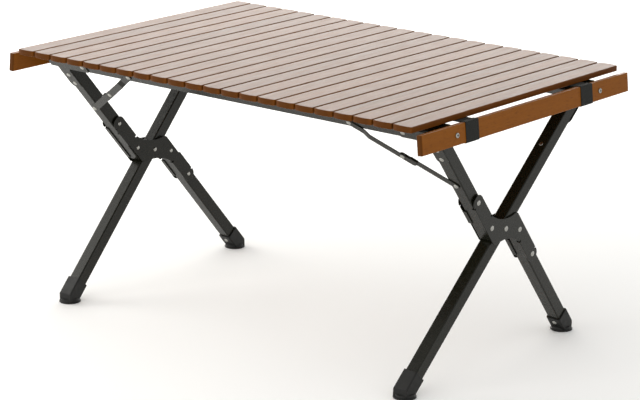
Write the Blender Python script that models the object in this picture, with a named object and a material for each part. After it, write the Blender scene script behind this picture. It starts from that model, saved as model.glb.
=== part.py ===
# Camping table with a roll-up slatted top on two folding steel frames.
# X is the long direction, Y the depth (front is -Y), Z is up, the floor is z = 0.
import math

import bmesh
import bpy
from mathutils import Matrix, Vector

# Driving sizes, in metres
TOP_LENGTH = 1.200          # over the slats
TOP_DEPTH = 0.810           # over the bulged slat ends
TOP_HEIGHT = 0.650          # floor to the upper face of the slats
SLAT_COUNT = 22
SLAT_GAP = 0.004
SLAT_THICK = 0.014
SLAT_BULGE = 0.0045         # how far the middle of a slat's end stands out
SLAT_CORNER = 0.003
SLAT_EDGE = 0.0015
BOARD_THICK = 0.014
BOARD_TALL = 0.045
BOARD_SPACE = 0.016         # last slat to the board's inner face at half height
BOARD_EDGE = 0.002
BOARD_CORNER = 0.004
BOARD_TILT = math.radians(5.5)
STRAP_WIDE = 0.048
STRAP_THICK = 0.0014
STRAP_BESIDE = 0.0555       # rail's centre to the strap's centre
STAPLE_LONG = 0.010
STAPLE_WIRE = 0.0010
STAPLE_DEEP = 0.006
HUB_HEIGHT = 0.331
HUB_INSET = 0.050           # hub centre to the end of the slats
LEG_SPLAY = math.radians(2.748)     # legs lean outward going up
FRONT_LEAN = math.radians(50.4)
BACK_LEAN = math.radians(45.0)
TUBE = 0.032
TUBE_WALL = 0.0015
TUBE_CORNER = 0.003
SPLIT_GAP = 0.004           # between a split half and the unbroken leg, folded
SPLIT_END = 0.018           # hub axis to the near end of a split half
RAIL_WIDE = 0.040
PLATE = 0.0020              # pressed steel plates and links
PLATE_STANDOFF = 0.0036     # leg side to hub plate
PIVOT_SPACER_PLAY = 0.0010  # unbroken leg to the spacer at the pivot
LEG_TOP_PLAY = 0.0012       # leg's end to the rail
RIVET_FAR = 0.145           # hub rivets, along the leg from the hub axis
RIVET_NEAR = 0.049
HUB_RIVET_R = 0.0040
HUB_HEAD_R = 0.0070
RIVET_R = 0.0030
HEAD_R = 0.0060
HEAD_TALL = 0.0024
TAIL_R = 0.0050
TAIL_TALL = 0.0014
SPACER_R = 0.0100
FLANGE_LONG = 0.064
FLANGE_DEEP = 0.009
FLANGE_END = 0.003          # far hub rivet to the flange's end
PLATE_BOW = 0.011           # depth of the hollow in a hub plate's long edge
SHOULDER_ROUND = 0.007
INNER_SET_IN = 0.004        # how far an inner hub plate's straight edge is drawn in
BRACKET_HALF = 0.017
BRACKET_HIGH = 0.043        # rail centre to the bracket's upper leg rivet
BRACKET_LOW = 0.075
BRACKET_REACH = 0.076       # leg centre to the bracket's rail rivet
LINK_WIDE = 0.016
BRACE_DROP = 0.172          # rail centre to the brace's leg rivet
BRACE_REACH = 0.229         # leg centre at the rail to the brace's rail rivet
BRACE_BELOW = 0.0032        # rail centre to the brace's rail rivet
BRACE_LINK = 0.136          # leg rivet to middle rivet
BRACE_OVERLAP = 0.030       # how far the rail link runs past the middle rivet
BRACE_TAB_BACK = 0.009
JOGGLE_FAR = 0.040
JOGGLE_NEAR = 0.030
BOOT_WALL = 0.0029
BOOT_DISC_R = 0.027
BOOT_DISC_TALL = 0.005
BOOT_DISC_EDGE = 0.0012
BOOT_COVER = 0.037          # tube end to the boot's rim
BOOT_BLANK = 0.080          # length of the boot's sleeve below the tube's end, untrimmed
BOOT_RIVET_UP = 0.022
BOOT_BACK = 0.018           # disc centre to the boot's upright back
FOOT_CLEAR = 0.0195         # floor to the centre of the tube's end
FOOT_CENTRE = 0.015         # height on the leg's axis that stands over the disc's centre
SCREW_HEAD_TALL = 0.0028
GAP = 0.0003                # between neighbouring pieces
BITE = 0.0002               # overlap of shapes that are one piece
REACH = 0.02                # how far a cutter runs past what it cuts
HUB_SIDES = 10              # flats that stand for a round, on hub rivets and small ones
SMALL_SIDES = 8

# Sizes that follow
HALF = TUBE / 2
SPLIT_SHIFT = TUBE + SPLIT_GAP
SPLAY = math.tan(LEG_SPLAY)     # metres outward per metre up
SLAT_PITCH = (TOP_LENGTH + SLAT_GAP) / SLAT_COUNT
SLAT_WIDE = SLAT_PITCH - SLAT_GAP
SLAT_UNDER = TOP_HEIGHT - SLAT_THICK
STRAP_TOP = SLAT_UNDER - GAP
STRAP_UNDER = STRAP_TOP - STRAP_THICK
HUB_HALF_SPAN = TOP_LENGTH / 2 - HUB_INSET
HUB_FACE = HALF + PLATE_STANDOFF
ARM_HALF = HALF + GAP + PLATE + BITE
SLEEVE = TUBE + 2 * GAP + 2 * BOOT_WALL
BOARD_MID_X = TOP_LENGTH / 2 + BOARD_SPACE + BOARD_THICK / 2
BOARD_MID_Z = SLAT_UNDER - BOARD_TALL / 2
HUB = Vector((0.0, 0.0, HUB_HEIGHT))
SIDES = (("left", -1), ("right", 1))

for old in list(bpy.data.objects):
    bpy.data.objects.remove(old, do_unlink=True)

parts = bpy.data.collections.new("camping_table")
cutters = bpy.data.collections.new("cutters")
bpy.context.scene.collection.children.link(parts)
bpy.context.scene.collection.children.link(cutters)


# Materials
def make_material(name, colour, metallic, rough):
    mat = bpy.data.materials.new(name)
    mat.use_nodes = True
    shader = mat.node_tree.nodes["Principled BSDF"]
    shader.inputs["Base Color"].default_value = (*colour, 1.0)
    shader.inputs["Metallic"].default_value = metallic
    shader.inputs["Roughness"].default_value = rough
    return mat


WOOD = make_material("lacquered_wood", (0.25, 0.10, 0.035), 0.0, 0.4)
BLACK_STEEL = make_material("black_steel", (0.03, 0.03, 0.03), 0.0, 0.5)
BARE_STEEL = make_material("bare_steel", (0.6, 0.6, 0.6), 1.0, 0.35)
PLASTIC = make_material("black_plastic", (0.02, 0.02, 0.02), 0.0, 0.6)
WEBBING = make_material("black_webbing", (0.02, 0.02, 0.02), 0.0, 0.9)


# Outlines
def arc(cx, cy, radius, start, end, steps):
    points = []
    for i in range(steps + 1):
        a = math.radians(start + (end - start) * i / steps)
        points.append((cx + radius * math.cos(a), cy + radius * math.sin(a)))
    return points


def circle(radius, steps):
    return arc(0, 0, radius, 0, 360, steps)[:-1]


def rounded(wide, tall, radius, steps):
    w, h = wide / 2 - radius, tall / 2 - radius
    points = []
    for cx, cy, start in ((w, h, 0), (-w, h, 90), (-w, -h, 180), (w, -h, 270)):
        points += arc(cx, cy, radius, start, start + 90, steps)
    return points


def bar(first, last, radius, steps):
    """A flat bar with round ends about two points."""
    turn = math.degrees(math.atan2(last[1] - first[1], last[0] - first[0]))
    return (arc(last[0], last[1], radius, turn - 90, turn + 90, steps)
            + arc(first[0], first[1], radius, turn + 90, turn + 270, steps))


def bow(first, last, sagitta, steps):
    """Points of a shallow arc to the left of the line from first to last."""
    run = Vector(last) - Vector(first)
    radius = (run.length ** 2 / 4 + sagitta ** 2) / (2 * sagitta)
    left = Vector((-run.y, run.x)).normalized()
    centre = (Vector(first) + Vector(last)) / 2 + left * (sagitta - radius)
    swing = math.degrees(math.asin(run.length / 2 / radius))
    middle = math.degrees(math.atan2(left.y, left.x))
    return arc(centre.x, centre.y, radius, middle + swing, middle - swing, steps)


# Shapes
def block(size, centre):
    bm = bmesh.new()
    bmesh.ops.create_cube(bm, size=1.0)
    bmesh.ops.scale(bm, vec=size, verts=bm.verts)
    bmesh.ops.translate(bm, vec=centre, verts=bm.verts)
    return bm


def rod(radius, low, high, segments):
    bm = bmesh.new()
    bmesh.ops.create_cone(bm, cap_ends=True, segments=segments, radius1=radius, radius2=radius,
                          depth=high - low)
    bmesh.ops.translate(bm, vec=(0, 0, (low + high) / 2), verts=bm.verts)
    return bm


def prism(loops, low, high, low_edge=0.0, high_edge=0.0):
    """Closed 2D loops, filled and extruded from low to high, with bevelled rims."""
    curve = bpy.data.curves.new("outline", "CURVE")
    curve.dimensions = "2D"
    curve.fill_mode = "BOTH"
    curve.extrude = (high - low) / 2
    for loop in loops:
        spline = curve.splines.new("POLY")
        spline.points.add(len(loop) - 1)
        for point, (x, y) in zip(spline.points, loop):
            point.co = (x, y, 0, 1)
        spline.use_cyclic_u = True
    holder = bpy.data.objects.new("outline", curve)
    mesh = bpy.data.meshes.new_from_object(holder)
    bm = bmesh.new()
    bm.from_mesh(mesh)
    bpy.data.objects.remove(holder)
    bpy.data.curves.remove(curve)
    bpy.data.meshes.remove(mesh)
    bmesh.ops.remove_doubles(bm, verts=bm.verts, dist=0.00001)
    bmesh.ops.dissolve_limit(bm, angle_limit=0.001, verts=bm.verts, edges=bm.edges)
    bmesh.ops.recalc_face_normals(bm, faces=bm.faces)
    bmesh.ops.translate(bm, vec=(0, 0, (low + high) / 2), verts=bm.verts)
    for level, edge in ((low, low_edge), (high, high_edge)):
        if edge:
            rim = [e for e in bm.edges
                   if all(abs(v.co.z - level) < 1e-6 for v in e.verts)
                   and any(abs(f.normal.z) < 0.5 for f in e.link_faces)]
            bmesh.ops.bevel(bm, geom=rim, offset=edge, segments=1, profile=0.5, affect="EDGES",
                            material=-1)
    return bm


def placed(bm, matrix):
    bmesh.ops.transform(bm, matrix=matrix, verts=bm.verts)
    if matrix.determinant() < 0:
        bmesh.ops.reverse_faces(bm, faces=bm.faces)
    return bm


def joined(shapes):
    bm = bmesh.new()
    for shape in shapes:
        mesh = bpy.data.meshes.new("shape")
        shape.to_mesh(mesh)
        shape.free()
        bm.from_mesh(mesh)
        bpy.data.meshes.remove(mesh)
    return bm


def add_part(name, bm, look):
    mesh = bpy.data.meshes.new(name)
    bm.to_mesh(mesh)
    bm.free()
    mesh.shade_smooth()
    mesh.set_sharp_from_angle(angle=math.radians(35))
    mesh.materials.append(look)
    obj = bpy.data.objects.new(name, mesh)
    parts.objects.link(obj)
    return obj


def boolean(obj, shapes, operation):
    bm = joined(shapes)
    name = obj.name + "_" + operation.lower() + "_" + str(len(obj.modifiers) + 1)
    mesh = bpy.data.meshes.new(name)
    bm.to_mesh(mesh)
    bm.free()
    tool = bpy.data.objects.new(name, mesh)
    tool.hide_render = True
    tool.display_type = "WIRE"
    cutters.objects.link(tool)
    step = obj.modifiers.new(name, "BOOLEAN")
    step.operation = operation
    step.solver = "EXACT"
    step.object = tool


def cut(obj, shapes):
    boolean(obj, shapes, "DIFFERENCE")


def fuse(obj, shapes):
    boolean(obj, shapes, "UNION")


def axes(x, y, z, origin):
    matrix = Matrix.Identity(4)
    for i, vector in enumerate((x, y, z, origin)):
        for row in range(3):
            matrix[row][i] = vector[row]
    return matrix


TURN_X = Matrix.Rotation(math.radians(90), 4, "Y")      # a rod laid along X
TURN_Y = Matrix.Rotation(math.radians(-90), 4, "X")     # a rod laid along Y
YZ_OUTLINE = axes((0, 1, 0), (0, 0, 1), (1, 0, 0), (0, 0, 0))


def set_rivets(obj, places, radius, head_r, head_at, tail_at, segments):
    """Rivets made one with the piece they hold: shanks first, then heads and tails."""
    shanks, ends = [], []
    for place in places:
        shanks.append(placed(rod(radius, tail_at - BITE, head_at + BITE, segments), place))
        ends.append(placed(prism([circle(head_r, segments)], head_at - BITE, head_at + HEAD_TALL,
                                 0.0, HEAD_TALL / 2), place))
        ends.append(placed(prism([circle(TAIL_R, segments)], tail_at - TAIL_TALL, tail_at,
                                 TAIL_TALL / 2, 0.0), place))
    fuse(obj, shanks)
    fuse(obj, ends)


# Each frame lies in a sloping plane through the hub axis: "up" runs from its feet to
# its rail, and "out" is the face that its brackets and braces are riveted to.
class Frame:
    def __init__(self, name, up, out, upper_v, lower_v):
        self.name = name
        self.up = Vector(up)
        self.out = Vector(out)
        self.upper_v = upper_v
        self.lower_v = lower_v
        self.plane = axes((1, 0, 0), self.out, self.up, HUB)
        self.face = upper_v + HALF
        # the rail's rounded upper corner just meets the slats
        rise = ((RAIL_WIDE / 2 - TUBE_CORNER) * abs(self.up.z)
                + (HALF - TUBE_CORNER) * abs(self.out.z) + TUBE_CORNER)
        self.rail_w = (SLAT_UNDER - GAP - rise - HUB_HEIGHT - upper_v * self.out.z) / self.up.z
        self.rail_y = (self.plane @ Vector((0, upper_v, self.rail_w))).y
        # the tube ends just above the floor, inside its boot
        self.foot_w = (FOOT_CLEAR - HUB_HEIGHT - lower_v * self.out.z) / self.up.z
        self.leg_top = self.rail_w - RAIL_WIDE / 2 - LEG_TOP_PLAY
        self.rail_rivet = (self.leg_x(self.rail_w) - BRACKET_REACH, self.rail_w)
        self.leg_rivets = [(self.leg_x(self.rail_w - down), self.rail_w - down)
                           for down in (BRACKET_HIGH, BRACKET_LOW)]
        self.boot_rivet = (self.leg_x(self.foot_w + BOOT_RIVET_UP), self.foot_w + BOOT_RIVET_UP)
        low_w = self.rail_w - BRACE_DROP
        self.brace_leg = Vector((self.leg_x(low_w), low_w))
        self.brace_rail = Vector((self.leg_x(self.rail_w) - BRACE_REACH, self.rail_w - BRACE_BELOW))
        self.brace_run = (self.brace_rail - self.brace_leg).normalized()
        self.brace_mid = self.brace_leg + self.brace_run * BRACE_LINK

    def leg_x(self, w):
        return HUB_HALF_SPAN + SPLAY * w

    def leg(self, side):
        """Frame of a leg: X across it, Y out, Z up along it."""
        stretch = math.sqrt(1 + SPLAY ** 2)
        across = Vector((side, -SPLAY * self.up.y, -SPLAY * self.up.z)) / stretch
        along = Vector((side * SPLAY, self.up.y, self.up.z)) / stretch
        return axes(across, self.out, along, (side * HUB_HALF_SPAN, 0, HUB_HEIGHT))

    def face_on(self, side):
        """Places a flat outline, drawn as (distance from the middle, height), in the plane."""
        return self.plane @ axes((side, 0, 0), (0, 0, 1), (0, 1, 0), (0, 0, 0))

    def spots(self, side, points):
        """Rod places through the frame, along its out direction."""
        return [self.plane @ Matrix.Translation((side * x, 0, w)) @ TURN_Y for x, w in points]


front = Frame("front", (0, -math.cos(FRONT_LEAN), math.sin(FRONT_LEAN)),
              (0, -math.sin(FRONT_LEAN), -math.cos(FRONT_LEAN)), SPLIT_SHIFT, -SPLIT_SHIFT)
back = Frame("back", (0, math.cos(BACK_LEAN), math.sin(BACK_LEAN)),
             (0, math.sin(BACK_LEAN), -math.cos(BACK_LEAN)), 0.0, 0.0)


def frame_holes(frame, side, points, middle):
    reach = HALF + REACH
    return [placed(rod(RIVET_R + GAP, middle - reach, middle + reach, SMALL_SIDES), place)
            for place in frame.spots(side, points)]


# Hub rivets: four clamp the halves of the split leg, one at the axis is the pivot
CLAMPS = [(SPLIT_SHIFT, RIVET_NEAR), (SPLIT_SHIFT, RIVET_FAR),
          (-SPLIT_SHIFT, -RIVET_NEAR), (-SPLIT_SHIFT, -RIVET_FAR)]


def clamp_places(side, spots=CLAMPS):
    return [front.leg(side) @ Matrix.Translation((0, v, w)) @ TURN_X for v, w in spots]


def pivot_place(side):
    return (Matrix.Translation((side * HUB_HALF_SPAN, 0, HUB_HEIGHT))
            @ Matrix.Rotation(math.radians(90 * side), 4, "Y"))


def hub_holes(places, radius):
    reach = HUB_FACE + REACH
    return [placed(rod(radius, -reach, reach, HUB_SIDES), place) for place in places]


# Legs: square steel tube, open at both ends
def tube(wide, deep, low, high):
    return prism([rounded(wide, deep, TUBE_CORNER, 2),
                  rounded(wide - 2 * TUBE_WALL, deep - 2 * TUBE_WALL, TUBE_CORNER - TUBE_WALL, 1)],
                 low, high)


for label, side in SIDES:
    upper = add_part("leg_" + label + "_split_upper",
                     placed(tube(TUBE, TUBE, SPLIT_END, front.leg_top),
                            front.leg(side) @ Matrix.Translation((0, SPLIT_SHIFT, 0))), BLACK_STEEL)
    cut(upper, frame_holes(front, side, front.leg_rivets + [tuple(front.brace_leg)], SPLIT_SHIFT)
        + hub_holes(clamp_places(side, CLAMPS[:2]), HUB_RIVET_R + GAP))

    lower = add_part("leg_" + label + "_split_lower",
                     placed(tube(TUBE, TUBE, front.foot_w, -SPLIT_END),
                            front.leg(side) @ Matrix.Translation((0, -SPLIT_SHIFT, 0))), BLACK_STEEL)
    cut(lower, frame_holes(front, side, [front.boot_rivet], -SPLIT_SHIFT)
        + hub_holes(clamp_places(side, CLAMPS[2:]), HUB_RIVET_R + GAP))

    whole = add_part("leg_" + label + "_continuous",
                     placed(tube(TUBE, TUBE, back.foot_w, back.leg_top), back.leg(side)), BLACK_STEEL)
    cut(whole, frame_holes(back, side, back.leg_rivets + [back.boot_rivet], back.lower_v)
        + hub_holes([pivot_place(side)], HUB_RIVET_R + GAP))
    set_rivets(whole, back.spots(side, [tuple(back.brace_leg)]), RIVET_R, HEAD_R, HALF, -HALF,
               SMALL_SIDES)

# Rails: rectangular tube under the slats, ending just clear of the straps' loops
rail_half = (BOARD_MID_X - (BOARD_THICK / 2 + STRAP_THICK + 2 * GAP) / math.cos(BOARD_TILT)
             - BOARD_TALL / 2 * math.tan(BOARD_TILT) - GAP)
for frame in (front, back):
    shift = Matrix.Translation((0, frame.upper_v, frame.rail_w))
    rail = add_part(frame.name + "_rail",
                    placed(tube(TUBE, RAIL_WIDE, -rail_half, rail_half), frame.plane @ shift @ YZ_OUTLINE),
                    BLACK_STEEL)
    rivets = [frame.rail_rivet]
    if frame is front:
        rivets.append(tuple(front.brace_rail))
    holes = []
    for label, side in SIDES:
        holes += frame_holes(frame, side, rivets, frame.upper_v)
    cut(rail, holes)

# Hub plates: pressed plates with two flanged arms, hollowed towards the unbroken leg.
# Their spacers, and on the outer plates the clamping rivets, are made one with them.
arm_inner = SPLIT_SHIFT - ARM_HALF
arm_outer = SPLIT_SHIFT + ARM_HALF
flange_near = RIVET_FAR - FLANGE_END - FLANGE_LONG


def hub_outline(set_in):
    edge = -arm_outer + set_in
    corner = edge + SHOULDER_ROUND
    half = (arc(SPLIT_SHIFT, RIVET_FAR, ARM_HALF, 0, 180, 8)
            + bow((arm_inner, flange_near), (corner, 0), PLATE_BOW, 6)
            + arc(corner, -SHOULDER_ROUND, SHOULDER_ROUND, 90, 180, 2)[1:])
    if set_in:
        half += [(edge, -flange_near + set_in), (-arm_outer, -flange_near)]
    return half + [(-v, -w) for v, w in half]



for label, side in SIDES:
    for where, way, set_in in (("outer", 1, 0.0), ("inner", -1, INNER_SET_IN)):
        near, far = sorted((way * HUB_FACE, way * (HUB_FACE + PLATE)))
        plate = add_part("hub_plate_" + label + "_" + where,
                         placed(prism([hub_outline(set_in)], near, far), front.leg(side) @ YZ_OUTLINE),
                         BLACK_STEEL)
        flanges = []
        for arm in (1, -1):
            for edge in (1, -1):
                deep = FLANGE_DEEP + PLATE / 2
                flanges.append(placed(block((deep, PLATE, FLANGE_LONG),
                                            (way * (HUB_FACE + PLATE / 2 - deep / 2),
                                             arm * SPLIT_SHIFT + edge * (HALF + GAP + PLATE / 2),
                                             arm * (RIVET_FAR - FLANGE_END - FLANGE_LONG / 2))),
                                      front.leg(side)))
        fuse(plate, flanges)
        spacers = []
        for place in clamp_places(side):
            low, high = sorted((way * (HALF + GAP), way * (HUB_FACE + BITE)))
            spacers.append(placed(rod(SPACER_R, low, high, HUB_SIDES), place))
        low, high = sorted((way * (HALF + PIVOT_SPACER_PLAY), way * (HUB_FACE + PLATE / 2)))
        spacers.append(placed(rod(SPACER_R, low, high, HUB_SIDES), pivot_place(side)))
        fuse(plate, spacers)
        cut(plate, hub_holes([pivot_place(side)], HUB_RIVET_R + 2 * GAP))
        if where == "inner":
            cut(plate, hub_holes(clamp_places(side), HUB_RIVET_R + GAP))
        else:
            set_rivets(plate, clamp_places(side), HUB_RIVET_R, HUB_HEAD_R, HUB_FACE + PLATE,
                       -HUB_FACE - PLATE - GAP, HUB_SIDES)

# Hub pivots: one long rivet a side, through both plates and the unbroken leg
for label, side in SIDES:
    seat = HUB_FACE + PLATE + 2 * GAP
    pivot = add_part("hub_pivot_" + label,
                     placed(rod(HUB_RIVET_R, -seat - BITE, seat + BITE, HUB_SIDES), pivot_place(side)),
                     BARE_STEEL)
    caps = []
    for low, high, low_edge, high_edge in ((seat, seat + HEAD_TALL, 0, HEAD_TALL / 2),
                                           (-seat - HEAD_TALL, -seat, HEAD_TALL / 2, 0)):
        caps.append(placed(prism([circle(HUB_HEAD_R, HUB_SIDES)], low, high, low_edge, high_edge),
                           pivot_place(side)))
    fuse(pivot, caps)

# Leg brackets: bent plates that tie each leg's top to its rail, with their rivets
for frame in (front, back):
    top_w = frame.rail_w + RAIL_WIDE / 2 - PLATE
    low_w = frame.rail_w - RAIL_WIDE / 2 + PLATE
    inboard = frame.rail_rivet[0] - BRACKET_HALF + TUBE_CORNER
    bottom = frame.leg_rivets[1]
    corner = TUBE_CORNER
    outline = (arc(bottom[0], bottom[1], BRACKET_HALF, 180, 360, 6)
               + [(frame.leg_x(top_w) + BRACKET_HALF, top_w)]
               + arc(inboard + corner, top_w - corner, corner, 90, 180, 2)
               + arc(inboard + corner, low_w + corner, corner, 180, 270, 2)
               + [(frame.leg_x(low_w) - BRACKET_HALF - corner, low_w),
                  (frame.leg_x(low_w) - BRACKET_HALF, low_w - corner)])
    face = frame.face + GAP
    for label, side in SIDES:
        bracket = add_part("leg_bracket_" + frame.name + "_" + label,
                           placed(prism([outline], face, face + PLATE), frame.face_on(side)), BLACK_STEEL)
        set_rivets(bracket, frame.spots(side, frame.leg_rivets + [frame.rail_rivet]), RIVET_R, HEAD_R,
                   face + PLATE, frame.upper_v - HALF - GAP, SMALL_SIDES)

# Braces, on the front frame: a flat link on the leg, and over it a joggled link with a stop tab
for frame in (front,):
    under = frame.face + GAP
    over = under + PLATE + GAP
    run = frame.brace_run
    lift = Vector((run.y, -run.x))
    length = (frame.brace_rail - frame.brace_mid).length
    for label, side in SIDES:
        stand = frame.face_on(side)
        link = add_part("brace_leg_link_" + frame.name + "_" + label,
                        placed(prism([bar(frame.brace_leg, frame.brace_mid, LINK_WIDE / 2, 6)],
                                     under, under + PLATE), stand), BLACK_STEEL)
        cut(link, frame_holes(frame, side, [tuple(frame.brace_mid)], frame.face))
        set_rivets(link, frame.spots(side, [tuple(frame.brace_leg)]), RIVET_R, HEAD_R, under + PLATE,
                   frame.upper_v - HALF - GAP, SMALL_SIDES)

        # the strip's side view runs along the brace and is trimmed by its plan
        back_end, front_end = -BRACE_OVERLAP - REACH, length + REACH
        knee, heel = length - JOGGLE_FAR, length - JOGGLE_NEAR
        strip = [(back_end, over), (knee, over), (heel, under), (front_end, under),
                 (front_end, under + PLATE), (heel, under + PLATE), (knee, over + PLATE),
                 (back_end, over + PLATE)]
        along = stand @ axes((run.x, run.y, 0), (0, 0, 1), (lift.x, lift.y, 0),
                             (frame.brace_mid.x, frame.brace_mid.y, 0))
        link = add_part("brace_rail_link_" + frame.name + "_" + label,
                        placed(prism([strip], -LINK_WIDE, LINK_WIDE), along), BLACK_STEEL)
        start = frame.brace_mid - run * (BRACE_OVERLAP - LINK_WIDE / 2)
        plan = prism([bar(start, frame.brace_rail, LINK_WIDE / 2, 6)], under - REACH, over + REACH)
        boolean(link, [placed(plan, stand)], "INTERSECT")
        side_in, side_out = LINK_WIDE / 2 + GAP, LINK_WIDE / 2 + GAP + PLATE
        bend = [(LINK_WIDE / 2 - PLATE, over + BITE), (side_in, over + BITE), (side_in, under),
                (side_out, under), (side_out, over + PLATE - BITE),
                (LINK_WIDE / 2 - PLATE, over + PLATE - BITE)]
        across = stand @ axes((lift.x, lift.y, 0), (0, 0, 1), (run.x, run.y, 0),
                              (frame.brace_mid.x, frame.brace_mid.y, 0))
        fuse(link, [placed(prism([bend], LINK_WIDE / 2 + PLATE - BRACE_OVERLAP, BRACE_TAB_BACK), across)])
        set_rivets(link, frame.spots(side, [tuple(frame.brace_mid)]), RIVET_R, HEAD_R, over + PLATE,
                   frame.face, SMALL_SIDES)
        set_rivets(link, frame.spots(side, [tuple(frame.brace_rail)]), RIVET_R, HEAD_R, under + PLATE,
                   frame.upper_v - HALF - GAP, SMALL_SIDES)

# Foot boots: a square sleeve on the leg's end, running into a round disc, with its rivet
for frame, where, way in ((front, "back", 1), (back, "front", -1)):
    v = frame.lower_v
    axis_w = (FOOT_CENTRE - HUB_HEIGHT - v * frame.out.z) / frame.up.z
    rim = frame.foot_w + BOOT_COVER
    for label, side in SIDES:
        centre = frame.leg(side) @ Vector((0, v, axis_w))
        shift = Matrix.Translation((0, v, 0))
        sleeve = prism([rounded(SLEEVE, SLEEVE, TUBE_CORNER + GAP, 2)], frame.foot_w - BOOT_BLANK, rim)
        boot = add_part("foot_boot_" + where + "_" + label, placed(sleeve, frame.leg(side) @ shift), PLASTIC)
        wide = 2 * BOOT_BLANK
        cut(boot, [block((wide, wide, wide), (centre.x, centre.y + way * (BOOT_BACK + wide / 2), 0))])
        cut(boot, [block((wide, wide, wide), (centre.x, centre.y, BOOT_DISC_TALL / 2 - wide / 2))])
        disc = prism([circle(BOOT_DISC_R, 24)], 0, BOOT_DISC_TALL, 0.0, BOOT_DISC_EDGE)
        fuse(boot, [placed(disc, Matrix.Translation((centre.x, centre.y, 0)))])
        inside = TUBE + 2 * GAP
        deep = BOOT_COVER + GAP + REACH
        cut(boot, [placed(block((inside, inside, deep), (0, v, frame.foot_w - GAP + deep / 2)),
                          frame.leg(side))])
        set_rivets(boot, frame.spots(side, [frame.boot_rivet]), RIVET_R, HEAD_R, v + SLEEVE / 2,
                   v - SLEEVE / 2 + BITE, SMALL_SIDES)

# Slats: hardwood boards with bulged ends and staple pockets underneath
half_wide = SLAT_WIDE / 2
straight = TOP_DEPTH / 2 - SLAT_BULGE - SLAT_CORNER / 2
end_y = TOP_DEPTH / 2 - SLAT_BULGE
end_arc = bow((-half_wide + SLAT_CORNER, end_y), (half_wide - SLAT_CORNER, end_y), SLAT_BULGE, 3)
far_end = [(half_wide, straight)] + end_arc[::-1] + [(-half_wide, straight)]
slat_outline = far_end + [(-x, -y) for x, y in far_end]
slat_x = [-TOP_LENGTH / 2 + half_wide + i * SLAT_PITCH for i in range(SLAT_COUNT)]
strap_ys = {"front": front.rail_y + STRAP_BESIDE, "back": back.rail_y - STRAP_BESIDE}


def staple_pockets(x, y):
    size = STAPLE_WIRE + 2 * GAP
    low, high = SLAT_UNDER - REACH, SLAT_UNDER + STAPLE_DEEP + GAP
    return [block((size, size, high - low),
                  (x, y + way * (STAPLE_LONG - STAPLE_WIRE) / 2, (low + high) / 2)) for way in (1, -1)]


for i, x in enumerate(slat_x):
    shape = prism([slat_outline], SLAT_UNDER, TOP_HEIGHT, 0.0, SLAT_EDGE)
    slat = add_part("slat_%02d" % (i + 1), placed(shape, Matrix.Translation((x, 0, 0))), WOOD)
    cut(slat, staple_pockets(x, strap_ys["front"]) + staple_pockets(x, strap_ys["back"]))

# End boards: tilted boards across the ends, each screwed to both rails
boards = {}
for label, side in SIDES:
    thick = Vector((side * math.cos(BOARD_TILT), 0, math.sin(BOARD_TILT)))
    tall = Vector((-side * math.sin(BOARD_TILT), 0, math.cos(BOARD_TILT)))
    boards[label] = axes(thick, (0, 1, 0), tall, (side * BOARD_MID_X, 0, BOARD_MID_Z))
    shape = prism([rounded(BOARD_THICK, TOP_DEPTH, BOARD_CORNER, 3)], -BOARD_TALL / 2, BOARD_TALL / 2,
                  BOARD_EDGE, BOARD_EDGE)
    board = add_part("end_board_" + label, placed(shape, boards[label]), WOOD)
    screw_places = {frame.name: boards[label] @ Matrix.Translation((0, frame.rail_y, 0)) @ TURN_X
                    for frame in (front, back)}
    cut(board, [placed(rod(RIVET_R + GAP, -BOARD_THICK, BOARD_THICK, SMALL_SIDES), place)
                for place in screw_places.values()])
    seat = BOARD_THICK / 2 + GAP
    for where, place in screw_places.items():
        shank = rod(RIVET_R, -BOARD_THICK / 2 + GAP, seat + BITE, SMALL_SIDES)
        screw = add_part("board_screw_" + where + "_" + label, placed(shank, place), BARE_STEEL)
        fuse(screw, [placed(prism([circle(HEAD_R, SMALL_SIDES)], seat, seat + SCREW_HEAD_TALL, 0.0,
                                  SCREW_HEAD_TALL / 3), place)])

# Webbing straps: flat under the slats, looped round each board, one with their staples
band_half = (BOARD_MID_X - (STRAP_TOP - BOARD_MID_Z) * math.tan(BOARD_TILT)
             - BOARD_THICK / 2 / math.cos(BOARD_TILT) - GAP - STRAP_THICK / 2)
inner_wide, inner_tall = BOARD_THICK + 2 * GAP, BOARD_TALL + 2 * GAP
for where, y in strap_ys.items():
    band = block((2 * band_half, STRAP_WIDE, STRAP_THICK), (0, y, (STRAP_TOP + STRAP_UNDER) / 2))
    strap = add_part("webbing_strap_" + where, band, WEBBING)
    loops = []
    for label, side in SIDES:
        ring = prism([rounded(inner_wide + 2 * STRAP_THICK, inner_tall + 2 * STRAP_THICK,
                              BOARD_EDGE + STRAP_THICK, 3),
                      rounded(inner_wide, inner_tall, BOARD_EDGE / 2, 3)],
                     -STRAP_WIDE / 2 + BITE, STRAP_WIDE / 2 - BITE)
        upright = axes((1, 0, 0), (0, 0, 1), (0, -1, 0), (0, y, 0))
        loops.append(placed(ring, boards[label] @ upright))
    fuse(strap, loops)
    low, high = STRAP_UNDER - STAPLE_WIRE, SLAT_UNDER + STAPLE_DEEP
    reach, inside = STAPLE_LONG / 2, STAPLE_LONG / 2 - STAPLE_WIRE
    crown = STRAP_UNDER + BITE
    wire = [(-reach, low), (reach, low), (reach, high), (inside, high), (inside, crown),
            (-inside, crown), (-inside, high), (-reach, high)]
    fuse(strap, [placed(prism([wire], -STAPLE_WIRE / 2, STAPLE_WIRE / 2),
                        Matrix.Translation((x, y, 0)) @ YZ_OUTLINE) for x in slat_x])

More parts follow.
